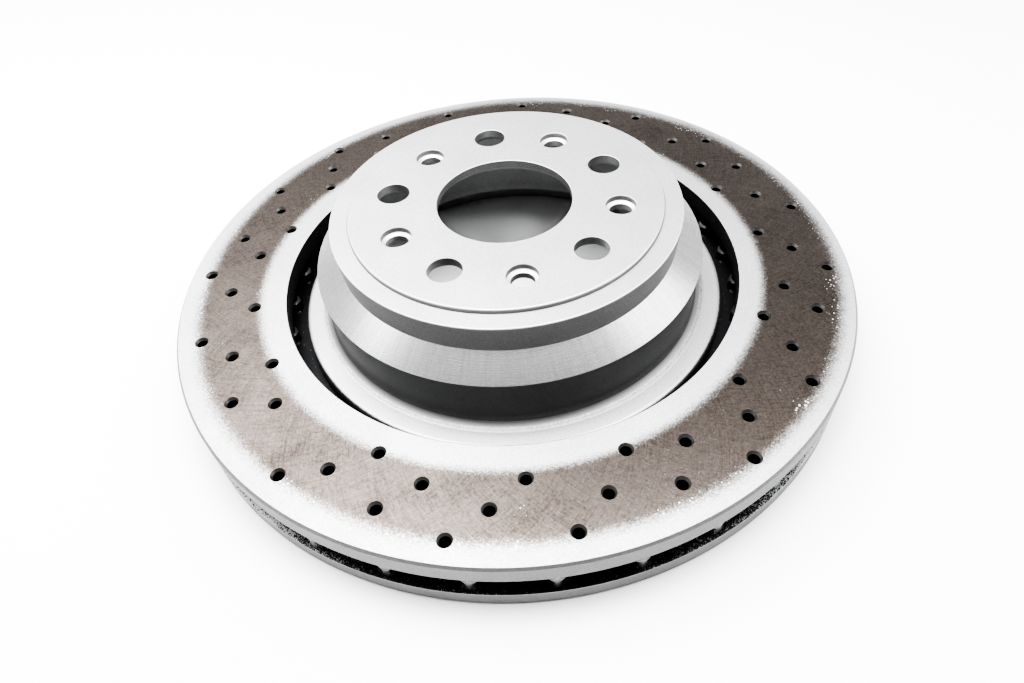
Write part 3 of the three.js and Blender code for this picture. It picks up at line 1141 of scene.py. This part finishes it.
@dataclass
class FrictionRing:
    """The two friction plates and the vanes between them."""

    levels: Levels
    inlet_gap: float = 6.7 * MM
    vane_count: int = 31
    first_vane_angle: float = math.radians(4.9)
    vane_thickness: float = 5 * MM
    vane_inner_reach: float = 1.1 * MM
    vane_outer_setback: float = 1.6 * MM
    vane_fillet: float = 2.4 * MM
    vane_ridge: float = 1.5 * MM
    vane_ridge_slope: float = 1.8 * MM
    nose_cut: float = 1.5 * MM
    nose_cut_start: float = 0.3
    inner_row_setback: float = 14.3 * MM
    outer_row_setback: float = 11.5 * MM
    rim_chamfer: float = 1.1 * MM
    channel_edge: float = 0.4 * MM
    bore_rounding: float = 0.6 * MM
    face_reach: float = 0.02 * MM
    channel_reach: float = 0.05 * MM
    wall_reach: float = 1 * MM
    vane_segments: int = 24
    fillet_steps: int = 4
    ridge_steps: int = 3
    ridge_power: float = 1.5

    @property
    def bore_r(self) -> float:
        """The outboard plate's bore."""
        return self.levels.foot_r + self.inlet_gap

    def build(self, finishes: dict[Finish, bpy.types.Material]) -> None:
        """Makes the plates and the vanes and hands them over."""
        drilling = Drilling(
            inner_row=self.bore_r + self.inner_row_setback,
            outer_row=self.levels.disc_r - self.outer_row_setback,
            vane_pitch=math.tau / self.vane_count,
        )
        self._build_outboard(finishes, drilling)
        self._build_inboard(finishes, drilling)
        for i in range(self.vane_count):
            self._build_vane(i, finishes)

    def _build_outboard(self, finishes: dict[Finish, bpy.types.Material], drilling: Drilling) -> None:
        """The plate on the wheel side."""
        lv = self.levels
        corners = [
            Corner(self.bore_r, lv.vent_ceiling, self.channel_edge),
            Corner(lv.disc_r, lv.vent_ceiling, self.channel_edge),
            Corner(lv.disc_r, lv.outboard_face - self.rim_chamfer),
            Corner(lv.disc_r - self.rim_chamfer, lv.outboard_face),
            Corner(self.bore_r, lv.outboard_face, self.bore_rounding),
        ]
        plate = new_piece("outboard_plate_ground", turned(corners, ROUND_SEGMENTS))
        cut(plate, drilling.cutter(lv.outboard_face, 1.0, lv.outboard_face - lv.vent_ceiling))
        self._dress_plate(plate, finishes, drilling, lv.outboard_face)
        hand_over(plate, "outboard_plate", Finish.GROUND)

    def _build_inboard(self, finishes: dict[Finish, bpy.types.Material], drilling: Drilling) -> None:
        """The plate on the suspension side."""
        lv = self.levels
        corners = [
            Corner(lv.foot_r, 0.0, self.rim_chamfer),
            Corner(lv.disc_r - self.rim_chamfer, 0.0),
            Corner(lv.disc_r, self.rim_chamfer),
            Corner(lv.disc_r, lv.vent_floor, self.channel_edge),
            Corner(lv.foot_r, lv.vent_floor),
        ]
        plate = new_piece("inboard_plate_ground", turned(corners, ROUND_SEGMENTS))
        cut(plate, drilling.cutter(0.0, -1.0, lv.vent_floor))
        self._dress_plate(plate, finishes, drilling, 0.0)
        hand_over(plate, "inboard_plate", Finish.GROUND)

    def _dress_plate(
        self,
        plate: bpy.types.Object,
        finishes: dict[Finish, bpy.types.Material],
        drilling: Drilling,
        face_z: float,
    ) -> None:
        """Ground on the friction face, coated on the rim, and drilled or cast elsewhere; the near-black
        cast iron on the bore wall and down the holes also paints their shade.
        """
        lv = self.levels
        channels = (lv.vent_floor, lv.vent_ceiling)
        kinds = [Finish.GROUND, Finish.ZINC, Finish.CHANNEL, Finish.DRILLED]

        def choose(face: bpy.types.MeshPolygon) -> int:
            """Goes by where the face lies and which way it looks."""
            radius = math.hypot(face.center.x, face.center.y)
            depth = abs(face.center.z - face_z)
            if depth < self.face_reach:
                return kinds.index(Finish.GROUND)
            if min(abs(face.center.z - z) for z in channels) < self.channel_reach:
                return kinds.index(Finish.CHANNEL)
            if radius > lv.disc_r - self.wall_reach:
                return kinds.index(Finish.ZINC)
            # The bore wall and its rounded edge take the near-black channel iron as painted shade in the
            # gap by the hat's foot.
            if radius < self.bore_r + self.wall_reach:
                return kinds.index(Finish.CHANNEL)
            # Below the countersinks the hole walls take the near-black channel iron as painted shade.
            return kinds.index(Finish.DRILLED if depth < drilling.countersink else Finish.CHANNEL)

        dress(plate, [finishes[kind] for kind in kinds], choose)

    def _build_vane(self, index: int, finishes: dict[Finish, bpy.types.Material]) -> None:
        """One straight radial vane with cast fillets at both plates and a ridge at mid-height."""
        lv = self.levels
        half = self.vane_thickness / 2
        start = self.bore_r - self.vane_inner_reach + half
        end = lv.disc_r - self.vane_outer_setback - half
        bm = bmesh.new()
        made = bmesh.ops.create_circle(bm, cap_ends=True, radius=half, segments=self.vane_segments)
        outer_half = [v for v in made["verts"] if v.co.x > SAME_PLACE]
        bmesh.ops.translate(bm, verts=made["verts"], vec=(start, 0.0, lv.vent_floor))
        bmesh.ops.translate(bm, verts=outer_half, vec=(end - start, 0.0, 0.0))
        face = bm.faces[:][0]
        for i, rise in enumerate(self._vane_rises()):
            moved = bmesh.ops.extrude_face_region(bm, geom=[face], use_keep_orig=i == 0)
            face = next(item for item in moved["geom"] if isinstance(item, bmesh.types.BMFace))
            for vert in face.verts:
                vert.co.z = lv.vent_floor + rise
        for vert in bm.verts:
            rise = vert.co.z - lv.vent_floor
            vert.co.y *= 1.0 + self._vane_swell(rise) / half
            if vert.co.x < start:
                vert.co.x = start + (vert.co.x - start) * self._nose_length(rise) / half
        bmesh.ops.recalc_face_normals(bm, faces=bm.faces)
        angle = self.first_vane_angle + index * math.tau / self.vane_count
        bmesh.ops.rotate(bm, verts=bm.verts, cent=(0, 0, 0), matrix=Matrix.Rotation(angle, 3, "Z"))
        name = f"vane_{index + 1:02d}"
        vane = new_piece(name + "_cast", bm)
        dress(vane, [finishes[Finish.CHANNEL]], lambda face: 0)
        hand_over(vane, name, Finish.CHANNEL)

    def _vane_rises(self) -> list[float]:
        """Heights over the channel's floor at which a vane's width changes."""
        height = self.levels.vent_ceiling - self.levels.vent_floor
        lower = [self.vane_fillet * (k + 1) / self.fillet_steps for k in range(self.fillet_steps)]
        ridge = (self.vane_ridge_slope * (k + 1) / self.ridge_steps for k in range(self.ridge_steps))
        lower += sorted(height / 2 - out for out in ridge)
        return lower + [height / 2] + [height - rise for rise in reversed(lower)] + [height]

    def _nose_length(self, rise: float) -> float:
        """How long a vane's rounded nose is at a height, shorter above mid-height where it is cut back."""
        over = rise - (self.levels.vent_ceiling - self.levels.vent_floor) / 2
        cut_back = min(max(over / self.vane_ridge_slope + self.nose_cut_start, 0.0), 1.0)
        return self.vane_thickness / 2 - self.nose_cut * cut_back

    def _vane_swell(self, rise: float) -> float:
        """How far a vane stands out past its plain width at a height over the channel's floor."""
        height = self.levels.vent_ceiling - self.levels.vent_floor
        middle = abs(rise - height / 2)
        ridge = self.vane_ridge * max(0.0, 1.0 - middle / self.vane_ridge_slope) ** self.ridge_power
        rest = max(0.0, self.vane_fillet - (height / 2 - middle))
        return ridge + self.vane_fillet - math.sqrt(self.vane_fillet**2 - rest**2)


# ---- Studio -------------------------------------------------------------------------------------


@dataclass(frozen=True)
class Softbox:
    """One rectangular studio light."""

    name: str
    place: tuple[float, float, float]
    aim: tuple[float, float, float]
    width: float
    height: float
    power: float

    def build(self) -> None:
        """Adds the light, aimed and unseen by the camera."""
        light = bpy.data.lights.new(self.name, "AREA")
        light.shape = "RECTANGLE"
        light.size = self.width
        light.size_y = self.height
        light.energy = self.power
        lamp = bpy.data.objects.new(self.name, light)
        lamp.location = self.place
        way = Vector(self.aim) - Vector(self.place)
        lamp.rotation_euler = way.to_track_quat("-Z", "Y").to_euler()
        lamp.visible_camera = False
        bpy.context.scene.collection.objects.link(lamp)


@dataclass
class Studio:
    """A pale table under soft light, and the camera."""

    floor_reach: float = 6.0
    floor_drop: float = 0.1 * MM
    camera_place: tuple[float, float, float] = (-3.0 * MM, -303.3 * MM, 292.5 * MM)
    camera_down: float = math.radians(47.19)
    camera_roll: float = math.radians(-5.44)
    lens: float = 24.86
    sensor: float = 36.0
    clip_start: float = 10 * MM
    lights: tuple[Softbox, ...] = (
        Softbox("left_softbox", (-0.8, 0.42, 1.0), (-0.8, 0.42, 0.0), 1.4, 1.1, 17.0),
        Softbox("right_softbox", (1.0, 0.0, 0.8), (0.0, 0.0, 0.0), 0.7, 0.8, 4.0),
        Softbox("top_softbox", (0.08, -0.03, 1.1), (0.08, -0.03, 0.0), 0.9, 0.5, 12.0),
    )
    room_white: float = 0.68
    room_dark: float = 0.03
    dark_wall_tilt: float = 1.3
    white_wall_tilt: float = 0.6
    wall_height: Span = (-0.1, 0.5)
    glow_across: Span = (0.55, 0.95)
    glow_height: Span = (0.5, 0.1)
    side_glow: float = 0.45
    backdrop: float = 0.75
    exposure: float = 0.8

    def build(self) -> None:
        """Makes the floor, the lights, the surroundings and the camera."""
        self._build_camera()
        self._build_floor()
        self._build_world()
        for light in self.lights:
            light.build()
        view = bpy.context.scene.view_settings
        view.view_transform = "AgX"
        view.look = "AgX - Very High Contrast"
        view.exposure = self.exposure

    def _build_camera(self) -> None:
        """Looks along +Y and down, rolled about its own axis."""
        data = bpy.data.cameras.new("camera")
        data.sensor_width = self.sensor
        data.lens = self.lens
        data.clip_start = self.clip_start
        camera = bpy.data.objects.new("camera", data)
        pitch = Matrix.Rotation(math.pi / 2 - self.camera_down, 4, "X")
        roll = Matrix.Rotation(self.camera_roll, 4, "Z")
        camera.matrix_world = Matrix.Translation(Vector(self.camera_place)) @ pitch @ roll
        bpy.context.scene.collection.objects.link(camera)
        bpy.context.scene.camera = camera

    def _build_floor(self) -> None:
        """A wide flat table top."""
        bm = bmesh.new()
        bmesh.ops.create_grid(bm, x_segments=1, y_segments=1, size=self.floor_reach)
        bmesh.ops.translate(bm, verts=bm.verts, vec=(0.0, 0.0, -self.floor_drop))
        floor = new_piece("floor", bm)
        floor.data.materials.append(PaleFloor().build())
        floor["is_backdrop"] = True

    def _build_world(self) -> None:
        """White behind and above and low at both sides, dark low on the viewer's side."""
        world = bpy.data.worlds.new("studio")
        world.use_nodes = True
        bpy.context.scene.world = world
        s = Shader(world.node_tree)
        direction = s.node("ShaderNodeTexCoord").outputs["Generated"]
        parts = s.node("ShaderNodeSeparateXYZ", {}, {0: direction}).outputs
        across, depth, height = (Number(s, part) for part in parts)
        towards_viewer, away = depth.math("MINIMUM", 0.0), depth.math("MAXIMUM", 0.0)
        tilted = height + towards_viewer * self.dark_wall_tilt + away * self.white_wall_tilt
        glow = across.math("ABSOLUTE").step(*self.glow_across) * height.step(*self.glow_height)
        white = tilted.step(*self.wall_height) * (self.room_white - self.room_dark)
        lit = white + self.room_dark + glow * self.side_glow
        seen = s.number("ShaderNodeLightPath", {}, {}, "Is Camera Ray")
        strength = lit + seen * (self.backdrop - lit)
        background = s.node("ShaderNodeBackground", {}, {"Strength": strength})
        s.node("ShaderNodeOutputWorld", {}, {"Surface": background.outputs[0]})


# ---- Build --------------------------------------------------------------------------------------


def write_sizes() -> None:
    """Logs the CAD model's box and the visual model's box."""
    boxes = {"cad": CAD_BOX, "visual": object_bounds()}
    plain = {name: [list(map(float, corner)) for corner in box] for name, box in boxes.items()}
    log.info("boxes: %s", plain)


def main() -> None:
    """Builds the disc and the studio."""
    logging.basicConfig(level=logging.INFO, format="%(name)s: %(message)s")
    Studio().build()
    levels = Levels.from_frame()
    finishes = make_finishes(levels)
    MountingFlange(levels).build(finishes)
    Hat(levels).build(finishes)
    FrictionRing(levels).build(finishes)
    write_sizes()


if __name__ == "__main__":
    main()
